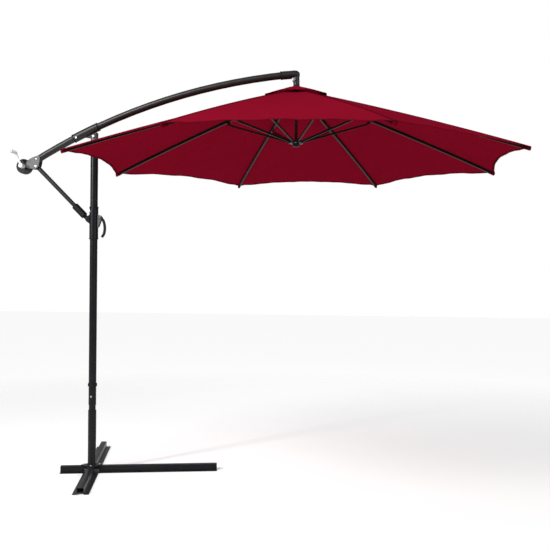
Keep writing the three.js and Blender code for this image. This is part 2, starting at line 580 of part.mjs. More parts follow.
function buildFrame() {
  const crown = hubDisc(HUB.half, -HUB.half, POST.radius + 1.5);
  const bossFoot = [0, 0, HUB.half - 1];
  const bossTop = [0, 0, HUB.half + CROWN_BOSS.height];
  const boss = pipe(DROP.radius + CROWN_BOSS.wall, DROP.radius + GAP, bossFoot, bossTop, 20);
  const crownGroup = new THREE.Group();
  crownGroup.position.set(AXIS_X, 0, crownZ);
  arm.add(crownGroup);
  add('crown_hub', join(crown, boss), 'plastic', crownGroup);

  const runnerGroup = new THREE.Group();
  runnerGroup.position.set(AXIS_X, 0, runnerZ);
  umbrella.add(runnerGroup);
  const disc = hubDisc(HUB.half, -HUB.half, RUNNER.cordHole);
  const skirt = alongZ(RUNNER.skirt, 0, 0, RUNNER.skirtLow, -HUB.half + 1, 20);
  const cap = alongZ(RUNNER.cap, 0, 0, RUNNER.capLow, RUNNER.skirtLow + 1, 12);
  const postTop = [0, 0, crownZ - runnerZ + 4];
  const post = pipe(POST.radius, POST.radius - POST.wall, bossFoot, postTop, 14);
  const cordHole = alongZ(RUNNER.cordHole, 0, 0, -40, 40, 16);
  add('runner_hub', cut(join(disc, skirt, cap, post), cordHole), 'plastic', runnerGroup);

  const rib = ribSolid();
  const stretcher = stretcherSolid();
  for (let k = 0; k < RIBS; k += 1) {
    const spoke = (height, slope) => {
      const outer = new THREE.Group();
      outer.position.set(AXIS_X, 0, height);
      outer.rotation.z = ribAngle(k);
      const inner = new THREE.Group();
      inner.position.x = PIVOT_RADIUS;
      inner.rotation.y = slope;
      outer.add(inner);
      umbrella.add(outer);
      return inner;
    };
    add(`rib_${k + 1}`, rib, 'rib', spoke(crownZ, SLOPE));
    add(`stretcher_${k + 1}`, stretcher, 'rib', spoke(runnerZ, -SLOPE));
  }
}

// ---- Canopy fabric ------------------------------------------------------------------------
// Height of the cloth's underside along a rib, at a distance from the canopy's axis
function clothZ(radius) {
  const along = (radius - PIVOT_RADIUS) / (TIP_RADIUS - PIVOT_RADIUS);
  const bow = 4 * RIB.bow * Math.max(0, along * (1 - along));
  return TIP_Z + (TIP_RADIUS - radius) * Math.tan(SLOPE) + bow / Math.cos(SLOPE);
}

// A thin closed skin through a grid of points, given as a function of two whole numbers
function skin(rows, columns, point, thick) {
  const positions = [];
  for (const lift of [0, thick]) {
    for (let i = 0; i <= rows; i += 1) {
      for (let j = 0; j <= columns; j += 1) {
        const [x, y, z] = point(i, j);
        positions.push(x, y, z + lift);
      }
    }
  }
  const layer = (rows + 1) * (columns + 1);
  const at = (i, j, side) => side * layer + i * (columns + 1) + j;
  const index = [];
  const quad = (a, b, c, d) => index.push(a, b, c, a, c, d);
  for (let i = 0; i < rows; i += 1) {
    for (let j = 0; j < columns; j += 1) {
      quad(at(i, j, 1), at(i + 1, j, 1), at(i + 1, j + 1, 1), at(i, j + 1, 1));
      quad(at(i, j, 0), at(i, j + 1, 0), at(i + 1, j + 1, 0), at(i + 1, j, 0));
    }
    quad(at(i, 0, 0), at(i + 1, 0, 0), at(i + 1, 0, 1), at(i, 0, 1));
    quad(at(i, columns, 0), at(i, columns, 1), at(i + 1, columns, 1), at(i + 1, columns, 0));
  }
  for (let j = 0; j < columns; j += 1) {
    quad(at(0, j, 0), at(0, j, 1), at(0, j + 1, 1), at(0, j + 1, 0));
    quad(at(rows, j, 0), at(rows, j + 1, 0), at(rows, j + 1, 1), at(rows, j, 1));
  }
  const geometry = new THREE.BufferGeometry();
  geometry.setAttribute('position', new THREE.BufferAttribute(new Float32Array(positions), 3));
  geometry.setIndex(index);
  return toSolid(geometry);
}

// One eighth of the canopy: the cloth on both sides of a rib, out to the middle of each panel
function canopyEighth() {
  const half = Math.PI / RIBS;
  const rows = 4;
  const columns = 6;
  const seam = CLOTH.clear / 2;
  const point = (i, j) => {
    const side = (2 * j) / columns - 1;
    const panel = Math.abs(side);
    const dip = CLOTH.scallop * (1 - (1 - panel) ** 2);
    const rim = TIP_RADIUS - dip / Math.cos(half);
    const ring = CLOTH.vent + ((rim - CLOTH.vent) * i) / rows;
    const across = ring * Math.cos(half) * Math.sin(half) * side;
    const outward = ring * (1 - panel * Math.sin(half) ** 2);
    return [outward, across - seam * side, clothZ(ring) + CLOTH.clear];
  };
  return skin(rows, columns, point, CLOTH.thick);
}

function ventCap() {
  const columns = 2 * RIBS;
  const half = Math.PI / RIBS;
  const profile = (t) => {
    const ring = CAP.hole + (CAP.radius - CAP.hole) * t;
    return [ring, CAP.edgeZ + (CAP.radius - ring) * CAP.rise];
  };
  const corner = (angle, t, lift) => {
    const [ring, height] = profile(t);
    const onRib = Math.round(angle / half) % 2 === 1;
    const reach = onRib ? ring : ring * Math.cos(half);
    return [reach * Math.cos(angle), reach * Math.sin(angle), height + lift];
  };
  const positions = [];
  const rows = 3;
  for (const lift of [0, CLOTH.thick]) {
    for (let i = 0; i <= rows; i += 1) {
      for (let j = 0; j < columns; j += 1) {
        positions.push(...corner(j * half, i / rows, lift));
      }
    }
  }
  const layer = (rows + 1) * columns;
  const at = (i, j, side) => side * layer + i * columns + (j % columns);
  const index = [];
  const quad = (a, b, c, d) => index.push(a, b, c, a, c, d);
  for (let j = 0; j < columns; j += 1) {
    for (let i = 0; i < rows; i += 1) {
      quad(at(i, j, 1), at(i + 1, j, 1), at(i + 1, j + 1, 1), at(i, j + 1, 1));
      quad(at(i, j, 0), at(i, j + 1, 0), at(i + 1, j + 1, 0), at(i + 1, j, 0));
    }
    quad(at(0, j, 0), at(0, j, 1), at(0, j + 1, 1), at(0, j + 1, 0));
    quad(at(rows, j, 0), at(rows, j + 1, 0), at(rows, j + 1, 1), at(rows, j, 1));
  }
  const geometry = new THREE.BufferGeometry();
  geometry.setAttribute('position', new THREE.BufferAttribute(new Float32Array(positions), 3));
  geometry.setIndex(index);
  return toSolid(geometry);
}

function buildCanopy() {
  const eighth = canopyEighth();
  for (let k = 0; k < RIBS; k += 1) {
    const group = new THREE.Group();
    group.position.x = AXIS_X;
    group.rotation.z = ribAngle(k);
    umbrella.add(group);
    add(`canopy_panel_${k + 1}`, eighth, 'cloth', group);
  }
  const top = new THREE.Group();
  top.position.x = AXIS_X;
  umbrella.add(top);
  add('vent_cap', ventCap(), 'cloth', top);
}

buildBase();
buildPole();
buildPoleTop();
buildArm();
buildArmEnd();
buildCrank();
buildElbow();
buildSlider();
buildStrut();
buildFrame();
buildCanopy();

export default umbrella;
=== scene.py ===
import json
import math

import bmesh
import bpy
import numpy as np
from mathutils import Matrix, Vector


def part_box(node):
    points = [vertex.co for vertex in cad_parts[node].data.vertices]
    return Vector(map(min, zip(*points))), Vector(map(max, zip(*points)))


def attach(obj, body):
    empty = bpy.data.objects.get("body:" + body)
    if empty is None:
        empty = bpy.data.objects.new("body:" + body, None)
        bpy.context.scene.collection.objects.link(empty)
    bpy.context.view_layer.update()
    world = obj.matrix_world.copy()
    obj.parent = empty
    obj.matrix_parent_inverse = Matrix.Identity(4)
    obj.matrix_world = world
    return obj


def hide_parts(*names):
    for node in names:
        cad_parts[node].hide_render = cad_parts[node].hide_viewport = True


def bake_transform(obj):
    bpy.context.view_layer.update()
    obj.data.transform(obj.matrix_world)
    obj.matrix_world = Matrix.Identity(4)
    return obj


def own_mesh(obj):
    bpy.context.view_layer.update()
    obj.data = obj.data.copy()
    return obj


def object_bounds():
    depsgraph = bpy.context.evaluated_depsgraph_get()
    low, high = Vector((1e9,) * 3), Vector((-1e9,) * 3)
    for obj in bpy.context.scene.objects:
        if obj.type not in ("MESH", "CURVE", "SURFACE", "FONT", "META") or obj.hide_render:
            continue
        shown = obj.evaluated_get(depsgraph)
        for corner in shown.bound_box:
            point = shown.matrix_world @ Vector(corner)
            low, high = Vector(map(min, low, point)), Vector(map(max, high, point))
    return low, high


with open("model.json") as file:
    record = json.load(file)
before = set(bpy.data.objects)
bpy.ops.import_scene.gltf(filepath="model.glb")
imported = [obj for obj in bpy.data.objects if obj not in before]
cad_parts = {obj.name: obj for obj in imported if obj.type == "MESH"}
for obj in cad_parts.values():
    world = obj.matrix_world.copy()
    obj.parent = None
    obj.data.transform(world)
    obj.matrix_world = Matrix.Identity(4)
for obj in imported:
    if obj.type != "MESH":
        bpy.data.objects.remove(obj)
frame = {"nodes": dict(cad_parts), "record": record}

# A cantilever patio umbrella: steel cross base, two-piece pole, slider with lever, curved arm with a crank,
# and an eight-rib canopy with a vented crown. Lengths are in metres, in the CAD frame.

cad_box = [list(corner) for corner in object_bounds()]

# Canopy, as the CAD model has it
RIBS = 8
HALF = math.pi / RIBS  # half the angle between two ribs
AXIS_X = 1.292
TIP_RADIUS = 1.420
TIP_Z = 1.974
SLOPE = math.radians(17.7)
PIVOT_RADIUS = 0.035
RIB_LIFT = 0.018
RIB_WIDTH = 0.012
RIB_HEIGHT = 0.018
BOW = 0.012
LINK = 0.475  # hinge to joint on a rib
VENT = 0.150
SCALLOP = 0.062
CLOTH_CLEAR = 0.0009
CLOTH_THICK = 0.0008
SAG = 0.014  # how far the middle of a gore hangs below a straight line from rib to rib
CAP_RADIUS = 0.205
CAP_HOLE = 0.021
CAP_EDGE_Z = 2.384
CAP_RISE = 0.33
HEM = 0.014
SEAM = 0.009

SMOOTH_ANGLE = math.radians(32)


# ---------------------------------------------------------------- materials


class Finish:
    """A Principled material with its pattern built from nodes, in the object's own coordinates."""

    def __init__(self, name, roughness, metallic=0.0, **settings):
        self.material = bpy.data.materials.new(name)
        self.material.use_nodes = True
        self.tree = self.material.node_tree
        self.shader = self.tree.nodes["Principled BSDF"]
        self.set("Metallic", metallic)
        self.set("Roughness", roughness)
        for socket, value in settings.items():
            self.set(socket.replace("_", " "), value)
        self.place = self.add("ShaderNodeTexCoord").outputs["Object"]

    def set(self, socket, value):
        self.shader.inputs[socket].default_value = value

    def add(self, kind, inputs=None, **properties):
        node = self.tree.nodes.new(kind)
        for key, value in properties.items():
            setattr(node, key, value)
        for key, value in (inputs or {}).items():
            if isinstance(value, bpy.types.NodeSocket):
                self.tree.links.new(value, node.inputs[key])
            else:
                node.inputs[key].default_value = value
        return node

    def stretched(self, scale, source=None):
        inputs = {"Vector": source or self.place, "Scale": scale}
        return self.add("ShaderNodeMapping", inputs).outputs["Vector"]

    def noise(self, scale, detail=3.0, roughness=0.55, source=None):
        inputs = {"Vector": source or self.place, "Scale": scale, "Detail": detail, "Roughness": roughness}
        return self.add("ShaderNodeTexNoise", inputs).outputs["Fac"]

    def math(self, operation, a, b=0.0):
        return self.add("ShaderNodeMath", {0: a, 1: b}, operation=operation).outputs[0]

    def span(self, value, low, high, to_low=0.0, to_high=1.0):
        inputs = {"Value": value, "From Min": low, "From Max": high, "To Min": to_low, "To Max": to_high}
        return self.add("ShaderNodeMapRange", inputs).outputs["Result"]

    def mix(self, share, a, b):
        node = self.add("ShaderNodeMix", data_type="RGBA")
        for socket, value in ((node.inputs[0], share), (node.inputs[6], a), (node.inputs[7], b)):
            if isinstance(value, bpy.types.NodeSocket):
                self.tree.links.new(value, socket)
            elif isinstance(value, (tuple, list)):
                socket.default_value = (*value[:3], 1.0)
            else:
                socket.default_value = value
        return node.outputs[2]

    def bump(self, height, distance, strength=1.0, normal=None):
        inputs = {"Height": height, "Distance": distance, "Strength": strength}
        if normal is not None:
            inputs["Normal"] = normal
        return self.add("ShaderNodeBump", inputs).outputs["Normal"]

    def connect(self, **sockets):
        for socket, value in sockets.items():
            self.tree.links.new(value, self.shader.inputs[socket.replace("_", " ")])
        return self.material


def tinted(color, factor, toward=None):
    """The colour scaled by factor, or moved to another colour by it."""
    if toward is None:
        return tuple(c * factor for c in color)
    return tuple(c + (t - c) * factor for c, t in zip(color, toward))


def worn_edges(finish, radius):
    """The rounded normal of a folded or cut edge, and a mask that is 1 where the finish has rubbed thin."""
    rounded = finish.add("ShaderNodeBevel", {"Radius": radius}, samples=6).outputs["Normal"]
    plain = finish.add("ShaderNodeNewGeometry").outputs["Normal"]
    match = finish.add("ShaderNodeVectorMath", {0: rounded, 1: plain}, operation="DOT_PRODUCT")
    edge = finish.span(match.outputs["Value"], 0.995, 0.90)
    patches = finish.span(finish.noise(60.0, 4.0), 0.42, 0.62)
    return rounded, finish.math("MULTIPLY", edge, patches)


def powder_coat(name, color, roughness, wear=0.35, grain=1100.0, **settings):
    """Sprayed paint on steel: orange peel, slight tone and gloss changes, dust, and rubbed edges."""
    finish = Finish(name, roughness, **settings)
    rounded, rubbed = worn_edges(finish, 0.0016)
    broad = finish.span(finish.noise(5.0, 4.0), 0.35, 0.65)
    tone = finish.mix(broad, tinted(color, 0.86), tinted(color, 1.16))
    dust = finish.span(finish.noise(26.0, 6.0, 0.7), 0.52, 0.78, 0.0, 0.16)
    tone = finish.mix(dust, tone, tinted(color, 0.10, (0.45, 0.42, 0.38)))
    tone = finish.mix(finish.math("MULTIPLY", rubbed, wear), tone, (0.30, 0.29, 0.28))
    gloss = finish.span(finish.noise(34.0, 5.0, 0.65), 0.3, 0.7, roughness - 0.05, roughness + 0.08)
    peel = finish.bump(finish.noise(grain, 2.0), 0.00012, 0.55, rounded)
    return finish.connect(Base_Color=tone, Roughness=gloss, Normal=peel)


SCRATCHES = (40.0, 40.0, 900.0)  # how dense they are along X, Y and Z


def bare_metal(name, color, roughness):
    """Zinc-plated or ground steel: fine scratches along one way and cloudy plating."""
    finish = Finish(name, roughness, metallic=1.0)
    rounded, rubbed = worn_edges(finish, 0.0006)
    lines = finish.noise(1.0, 4.0, 0.7, finish.stretched(SCRATCHES))
    cloud = finish.span(finish.noise(120.0, 4.0), 0.35, 0.65)
    tone = finish.mix(cloud, tinted(color, 0.82), tinted(color, 1.08))
    tone = finish.mix(finish.math("MULTIPLY", rubbed, 0.5), tone, (0.85, 0.85, 0.86))
    gloss = finish.span(lines, 0.3, 0.7, roughness - 0.08, roughness + 0.14)
    return finish.connect(Base_Color=tone, Roughness=gloss, Normal=finish.bump(lines, 0.00004, 0.6, rounded))


def moulded(name, color, roughness, pebble=420.0, depth=0.00010, **settings):
    """Moulded plastic: pebbled skin, softened edges, and scuffs that are a little paler."""
    finish = Finish(name, roughness, **settings)
    rounded, rubbed = worn_edges(finish, 0.0012)
    broad = finish.span(finish.noise(14.0, 3.0), 0.35, 0.65)
    tone = finish.mix(broad, tinted(color, 0.88), tinted(color, 1.14))
    scuffed = finish.noise(1.0, 5.0, 0.75, finish.stretched((35.0, 220.0, 60.0)))
    scuffs = finish.span(scuffed, 0.6, 0.74, 0.0, 0.09)
    tone = finish.mix(scuffs, tone, tinted(color, 0.35, (0.5, 0.5, 0.5)))
    tone = finish.mix(finish.math("MULTIPLY", rubbed, 0.05), tone, (0.4, 0.4, 0.4))
    gloss = finish.span(finish.noise(70.0, 4.0), 0.3, 0.7, roughness - 0.05, roughness + 0.09)
    skin = finish.add("ShaderNodeTexVoronoi", {"Vector": finish.place, "Scale": pebble}).outputs["Distance"]
    return finish.connect(Base_Color=tone, Roughness=gloss, Normal=finish.bump(skin, depth, 0.5, rounded))


THREAD = 0.0011  # pitch of the canopy's plain weave
WAVE_PERIOD = math.pi / 10  # of Blender's band wave at scale 1
STITCH = 0.0042  # length of one lockstitch
STITCH_COLOR = (0.10, 0.004, 0.012)


def woven(name, color, stitches=()):
    """Solution-dyed polyester: plain weave along U and V, slubs, faint creases, fading, and rows of
    lockstitch. UV is in metres, and stitches are the places across U where a row runs along V."""
    finish = Finish(name, 0.86, Sheen_Weight=0.006, Sheen_Roughness=0.4, Specular_IOR_Level=0.0)
    uv = finish.add("ShaderNodeUVMap", uv_map="cut").outputs["UV"]
    finish.set("Sheen Tint", (0.8, 0.10, 0.16, 1.0))
    bands = []
    for direction in ("X", "Y"):
        inputs = {"Vector": uv, "Scale": WAVE_PERIOD / THREAD}
        inputs.update({"Distortion": 0.35, "Detail": 1.0, "Detail Scale": 0.4})
        wave = finish.add("ShaderNodeTexWave", inputs, wave_type="BANDS", bands_direction=direction)
        bands.append(wave.outputs["Fac"])
    weave = finish.math("MULTIPLY", bands[0], bands[1])
    slub_warp = finish.noise(1.0, 3.0, 0.6, finish.stretched((9.0, 620.0, 1.0), uv))
    slub_weft = finish.noise(1.0, 3.0, 0.6, finish.stretched((620.0, 9.0, 1.0), uv))
    slub = finish.math("ADD", slub_warp, slub_weft)
    tone = finish.mix(finish.span(slub, 0.75, 1.25), tinted(color, 0.80), tinted(color, 1.18))
    tone = finish.mix(finish.span(weave, 0.0, 1.0, 0.0, 0.22), tone, tinted(color, 1.5))
    faded = finish.span(finish.noise(2.6, 4.0, 0.6), 0.4, 0.7, 0.0, 0.35)
    tone = finish.mix(faded, tone, tinted(color, 1.16))
    creases = finish.span(finish.noise(1.0, 4.0, 0.62, finish.stretched((5.5, 22.0, 1.0), uv)), 0.25, 0.75)
    height = finish.math("ADD", finish.math("MULTIPLY", weave, 0.10), finish.math("MULTIPLY", slub, 0.05))
    height = finish.math("ADD", height, finish.math("MULTIPLY", creases, 1.1))
    if stitches:
        split = finish.add("ShaderNodeSeparateXYZ", {"Vector": uv})
        across, along = split.outputs["X"], split.outputs["Y"]
        dash = finish.math("LESS_THAN", finish.math("FRACT", finish.math("DIVIDE", along, STITCH)), 0.66)
        thread = None
        for row in stitches:
            distance = finish.math("ABSOLUTE", finish.math("SUBTRACT", across, row))
            near = finish.span(distance, 0.0007, 0.0003)
            thread = near if thread is None else finish.math("MAXIMUM", thread, near)
        thread = finish.math("MULTIPLY", thread, dash)
        tone = finish.mix(thread, tone, STITCH_COLOR)
        height = finish.math("SUBTRACT", height, finish.math("MULTIPLY", thread, 0.6))
    gloss = finish.span(weave, 0.0, 1.0, 0.92, 0.78)
    return finish.connect(Base_Color=tone, Roughness=gloss, Normal=finish.bump(height, 0.0011, 0.8))


CLOTH_COLOR = (0.205, 0.0036, 0.0160)
# The hem colour is painted shade: the hem is the canopy's own cloth folded over, coloured about half as
# bright as CLOTH_COLOR.
HEM_COLOR_PAINTED_SHADE = (0.110, 0.0030, 0.0095)

finishes = {
    "black_paint": powder_coat("black_paint", (0.0052, 0.0052, 0.0068), 0.33, Specular_IOR_Level=0.20),
    "bronze_paint": powder_coat("bronze_paint", (0.012, 0.0098, 0.0095), 0.34, Specular_IOR_Level=0.32),
    "rib_paint": powder_coat("rib_paint", (0.0065, 0.0078, 0.0074), 0.36, wear=0.15, Specular_IOR_Level=0.28),
    "grey_cast": powder_coat("grey_cast", (0.062, 0.060, 0.064), 0.42, wear=0.5, grain=500.0),
    "crank_metal": powder_coat("crank_metal", (0.62, 0.65, 0.66), 0.26, wear=0.10, Coat_Weight=0.5),
    "zinc_steel": bare_metal("zinc_steel", (0.60, 0.61, 0.62), 0.30),
    "black_plastic": moulded("black_plastic", (0.0048, 0.0050, 0.0056), 0.46, Specular_IOR_Level=0.20),
    "hub_plastic": moulded("hub_plastic", (0.012, 0.014, 0.0135), 0.42, Specular_IOR_Level=0.4),
    "grip_plastic": moulded("grip_plastic", (0.66, 0.69, 0.71), 0.24, pebble=900.0, depth=0.00004),
    "canopy_fabric": woven("canopy_fabric", CLOTH_COLOR),
}
# Hem material in the darker hem colour, which is painted shade
shaded_hem_fabric = woven("shaded_hem_fabric", HEM_COLOR_PAINTED_SHADE, stitches=(0.0025, 0.0115))
# Seam material: the canopy's cloth at 0.55 of its colour, painted shade along the rib line
shaded_seam_fabric = woven("shaded_seam_fabric", tinted(CLOTH_COLOR, 0.55), stitches=(-0.0055, 0.0055))
# Pocket material: the hem colour darkened again, painted shade at the rib ends
shaded_pocket_fabric = woven("shaded_pocket_fabric", tinted(HEM_COLOR_PAINTED_SHADE, 0.8))


# ---------------------------------------------------------------- mesh helpers


def piece(name, points, faces, body, slot, material=None, uv=None, smooth=True):
    """A new mesh piece that rides a CAD body. uv gives each point its place on the flat cut, in metres."""
    mesh = bpy.data.meshes.new(name)
    mesh.from_pydata([tuple(p) for p in points], [], faces)
    mesh.update()
    if uv is not None:
        layer = mesh.uv_layers.new(name="cut")
        for loop in mesh.loops:
            layer.data[loop.index].uv = uv[loop.vertex_index]
    work = bmesh.new()
    work.from_mesh(mesh)
    bmesh.ops.recalc_face_normals(work, faces=work.faces)
    work.to_mesh(mesh)
    work.free()
    if smooth:
        mesh.polygons.foreach_set("use_smooth", [True] * len(mesh.polygons))
        mesh.set_sharp_from_angle(angle=SMOOTH_ANGLE)
    mesh.materials.append(material or finishes[slot])
    obj = bpy.data.objects.new(name, mesh)
    bpy.context.scene.collection.objects.link(obj)
    if body:
        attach(obj, body)
    return obj


def shell(top, thick):
    """Points and faces of a closed sheet: a grid of points as its top, and the same grid below it."""
    top = np.array(top, float)
    rows, columns = top.shape[:2]
    down_rows = np.gradient(top, axis=0)
    down_columns = np.gradient(top, axis=1)
    normal = np.cross(down_rows, down_columns)
    normal /= np.linalg.norm(normal, axis=2, keepdims=True)
    normal *= np.sign(normal[..., 2:3].mean())
    bottom = top - normal * thick
    points = np.concatenate([top.reshape(-1, 3), bottom.reshape(-1, 3)])
    under = rows * columns
    faces = []
    for i in range(rows - 1):
        for j in range(columns - 1):
            a = i * columns + j
            quad = (a, a + 1, a + columns + 1, a + columns)
            faces.append(quad)
            faces.append(tuple(under + v for v in reversed(quad)))
    rim = list(range(columns))
    rim += [i * columns + columns - 1 for i in range(1, rows)]
    rim += [(rows - 1) * columns + j for j in range(columns - 2, -1, -1)]
    rim += [i * columns for i in range(rows - 2, 0, -1)]
    for a, b in zip(rim, rim[1:] + rim[:1]):
        faces.append((b, a, under + a, under + b))
    return points, faces


def loft(rings):
    """Points and faces of a closed solid through rings of the same number of points, with flat ends."""
    sides = len(rings[0])
    points = [p for ring in rings for p in ring]
    faces = [tuple(range(sides)), tuple((len(rings) - 1) * sides + k for k in reversed(range(sides)))]
    for i in range(len(rings) - 1):
        for k in range(sides):
            a, b = i * sides + k, i * sides + (k + 1) % sides
            faces.append((a, b, b + sides, a + sides))
    return points, faces


def along(origin, axis):
    """The matrix of a frame at origin whose Z is axis."""
    turn = Vector(axis).to_track_quat("Z", "Y").to_matrix().to_4x4()
    return Matrix.Translation(Vector(origin)) @ turn


def turned(profile, origin, axis, sides=32, closed=False):
    """Points and faces of a turned solid: its profile is (radius, height) pairs, a ring if it is closed."""
    place = along(origin, axis)
    rings = []
    for radius, height in profile:
        turns = [2 * math.pi * k / sides for k in range(sides)]
        rings.append([place @ Vector((radius * math.cos(t), radius * math.sin(t), height)) for t in turns])
    if not closed:
        return loft(rings)
    points = [p for ring in rings for p in ring]
    faces = []
    for i in range(len(rings)):
        base, following = i * sides, (i + 1) % len(rings) * sides
        for k in range(sides):
            n = (k + 1) % sides
            faces.append((base + k, base + n, following + n, following + k))
    return points, faces


def merged(*parts):
    """Several (points, faces) as one."""
    points, faces = [], []
    for more, sides in parts:
        shift = len(points)
        points += list(more)
        faces += [tuple(shift + v for v in face) for face in sides]
    return points, faces


def hex_bolt(origin, axis, across, height):
    """A chamfered hexagon head on a washer, standing on origin."""
    corner = across / math.sqrt(3)
    base = 0.15 * height
    rim = 1.05 * across
    profile = [(rim * 0.95, 0.0), (rim, base * 0.3), (rim, base * 0.8), (rim * 0.96, base)]
    washer = turned(profile, origin, axis)
    place = along(origin, axis)
    turns = [math.pi / 3 * k for k in range(6)]
    rings = []
    for share, radius in ((0.0, 1.0), (0.72, 1.0), (0.93, 0.93), (1.0, 0.84)):
        level = base + share * height
        ring = [(corner * radius * math.cos(t), corner * radius * math.sin(t), level) for t in turns]
        rings.append([place @ Vector(point) for point in ring])
    return merged(washer, loft(rings))


def dome_rivet(origin, axis, radius, height):
    """A low domed rivet head."""
    steps = 6
    turns = [math.pi / 2 * s / steps for s in range(steps)]
    profile = [(radius * math.cos(turn), height * math.sin(turn)) for turn in turns]
    profile.append((radius * 0.06, height))
    return turned(profile, origin, axis, sides=20)


def middle(node):
    low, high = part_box(node)
    return (low + high) / 2


# ---------------------------------------------------------------- camera, light and floor

LENS = 51.97
SENSOR = 36.0
CAMERA_AT = (1.63, -4.951, 1.271)
YAW, PITCH, ROLL = math.radians(-5.34), math.radians(-0.04), math.radians(0.49)

camera = bpy.data.objects.new("camera", bpy.data.cameras.new("camera"))
camera.data.sensor_width = SENSOR
camera.data.lens = LENS
forward = Vector((math.sin(YAW) * math.cos(PITCH), math.cos(YAW) * math.cos(PITCH), math.sin(PITCH)))
level = Vector((math.cos(YAW), -math.sin(YAW), 0.0))
upward = level.cross(forward)
right = level * math.cos(ROLL) + upward * math.sin(ROLL)
upright = upward * math.cos(ROLL) - level * math.sin(ROLL)
camera.matrix_world = Matrix.Translation(CAMERA_AT) @ Matrix((right, upright, -forward)).transposed().to_4x4()
bpy.context.scene.collection.objects.link(camera)
bpy.context.scene.camera = camera


def softbox(name, at, aim, size, power, length=None):
    light = bpy.data.lights.new(name, "AREA")
    light.shape = "RECTANGLE"
    light.size = size
    light.size_y = length or size
    light.energy = power
    obj = bpy.data.objects.new(name, light)
    obj.location = at
    obj.rotation_mode = "QUATERNION"
    obj.rotation_quaternion = (Vector(aim) - Vector(at)).to_track_quat("-Z", "Y")
    bpy.context.scene.collection.objects.link(obj)


softbox("key", (-2.2, -4.4, 5.4), (0.9, 0.0, 1.6), 2.4, 290.0)
softbox("fill", (5.4, -3.6, 3.0), (0.9, 0.0, 1.4), 3.0, 90.0)
softbox("back", (2.0, 4.8, 4.6), (1.0, 0.0, 2.0), 2.5, 140.0)
softbox("strip", (-2.3, -2.6, 2.75), (0.0, 0.0, 2.0), 0.35, 95.0, length=1.3)

world = bpy.data.worlds.new("studio")
world.use_nodes = True
sky = world.node_tree
ROOM_LIGHT = 0.38
room = sky.nodes["Background"]
room.inputs["Color"].default_value = (1.0, 1.0, 1.0, 1.0)
room.inputs["Strength"].default_value = ROOM_LIGHT
paper = sky.nodes.new("ShaderNodeBackground")  # what shows behind the object
paper.inputs["Color"].default_value = (1.0, 1.0, 1.0, 1.0)
paper.inputs["Strength"].default_value = 1.0
seen = sky.nodes.new("ShaderNodeLightPath")
either = sky.nodes.new("ShaderNodeMixShader")
sky.links.new(seen.outputs["Is Camera Ray"], either.inputs[0])
sky.links.new(room.outputs[0], either.inputs[1])
sky.links.new(paper.outputs[0], either.inputs[2])
sky.links.new(either.outputs[0], sky.nodes["World Output"].inputs["Surface"])
bpy.context.scene.world = world
bpy.context.scene.view_settings.view_transform = "Standard"

FLOOR_SIZE = 20.0
FLOOR_CENTRE = (1.0, 0.0, 0.0)
FLOOR_FADE = (1.6, 5.5)  # where the floor starts to fade away, and where it is gone
floor_finish = Finish("floor", 0.8, Specular_IOR_Level=0.1)
floor_tone = floor_finish.mix(floor_finish.noise(1.4, 4.0), (0.95, 0.95, 0.95), (0.98, 0.98, 0.98))
floor_finish.connect(Base_Color=floor_tone)
from_centre = {0: floor_finish.place, 1: FLOOR_CENTRE}
reach = floor_finish.add("ShaderNodeVectorMath", from_centre, operation="DISTANCE")
fade = floor_finish.span(reach.outputs["Value"], *FLOOR_FADE)
soft_fade = floor_finish.math("SMOOTH_MIN", fade, 1.0)
nothing = floor_finish.add("ShaderNodeBsdfTransparent")
blend = {0: soft_fade, 1: floor_finish.shader.outputs[0], 2: nothing.outputs[0]}
mixed = floor_finish.add("ShaderNodeMixShader", blend)
surface = floor_finish.tree.nodes["Material Output"].inputs["Surface"]
floor_finish.tree.links.new(mixed.outputs[0], surface)
floor_z = cad_box[0][2] - 0.0005
corners = ((-1, -1), (1, -1), (1, 1), (-1, 1))
floor = piece(
    "floor",
    [(x * FLOOR_SIZE, y * FLOOR_SIZE, floor_z) for x, y in corners],
    [(0, 1, 2, 3)],
    None,
    None,
    material=floor_finish.material,
    smooth=False,
)


# ---------------------------------------------------------------- CAD pieces: their own shapes, finished

slot_of = {entry["node"]: entry["material_slot"] for entry in frame["record"]["subparts"]}

for node, obj in frame["nodes"].items():
    mesh = obj.data
    if "custom_normal" in mesh.attributes:
        mesh.attributes.remove(mesh.attributes["custom_normal"])
    mesh.polygons.foreach_set("use_smooth", [True] * len(mesh.polygons))
    weld = obj.modifiers.new("weld", "WELD")
    weld.merge_threshold = 0.00002
    split = obj.modifiers.new("crease", "EDGE_SPLIT")
    split.split_angle = SMOOTH_ANGLE
    obj.material_slots[0].material = finishes[slot_of[node]]


# ---------------------------------------------------------------- canopy cloth


def rib_angle(k):
    return (2 * k - 1) * HALF


def outward(k):
    return Vector((math.cos(rib_angle(k)), math.sin(rib_angle(k)), 0.0))


def sideways(k):
    return Vector((-math.sin(rib_angle(k)), math.cos(rib_angle(k)), 0.0))


def rib_line(radius):
    """Height of the cloth over a rib, at a distance from the canopy's centre line."""
    share = max(0.0, (radius - PIVOT_RADIUS) / (TIP_RADIUS - PIVOT_RADIUS))
    return TIP_Z + (TIP_RADIUS - radius) * math.tan(SLOPE) + 4 * BOW * share * (1 - share) / math.cos(SLOPE)


def wave(turns, panel):
    """A ripple along half a gore that is level at the rib and at the gore's middle."""
    return (1 - math.cos(2 * math.pi * turns * panel)) / 2


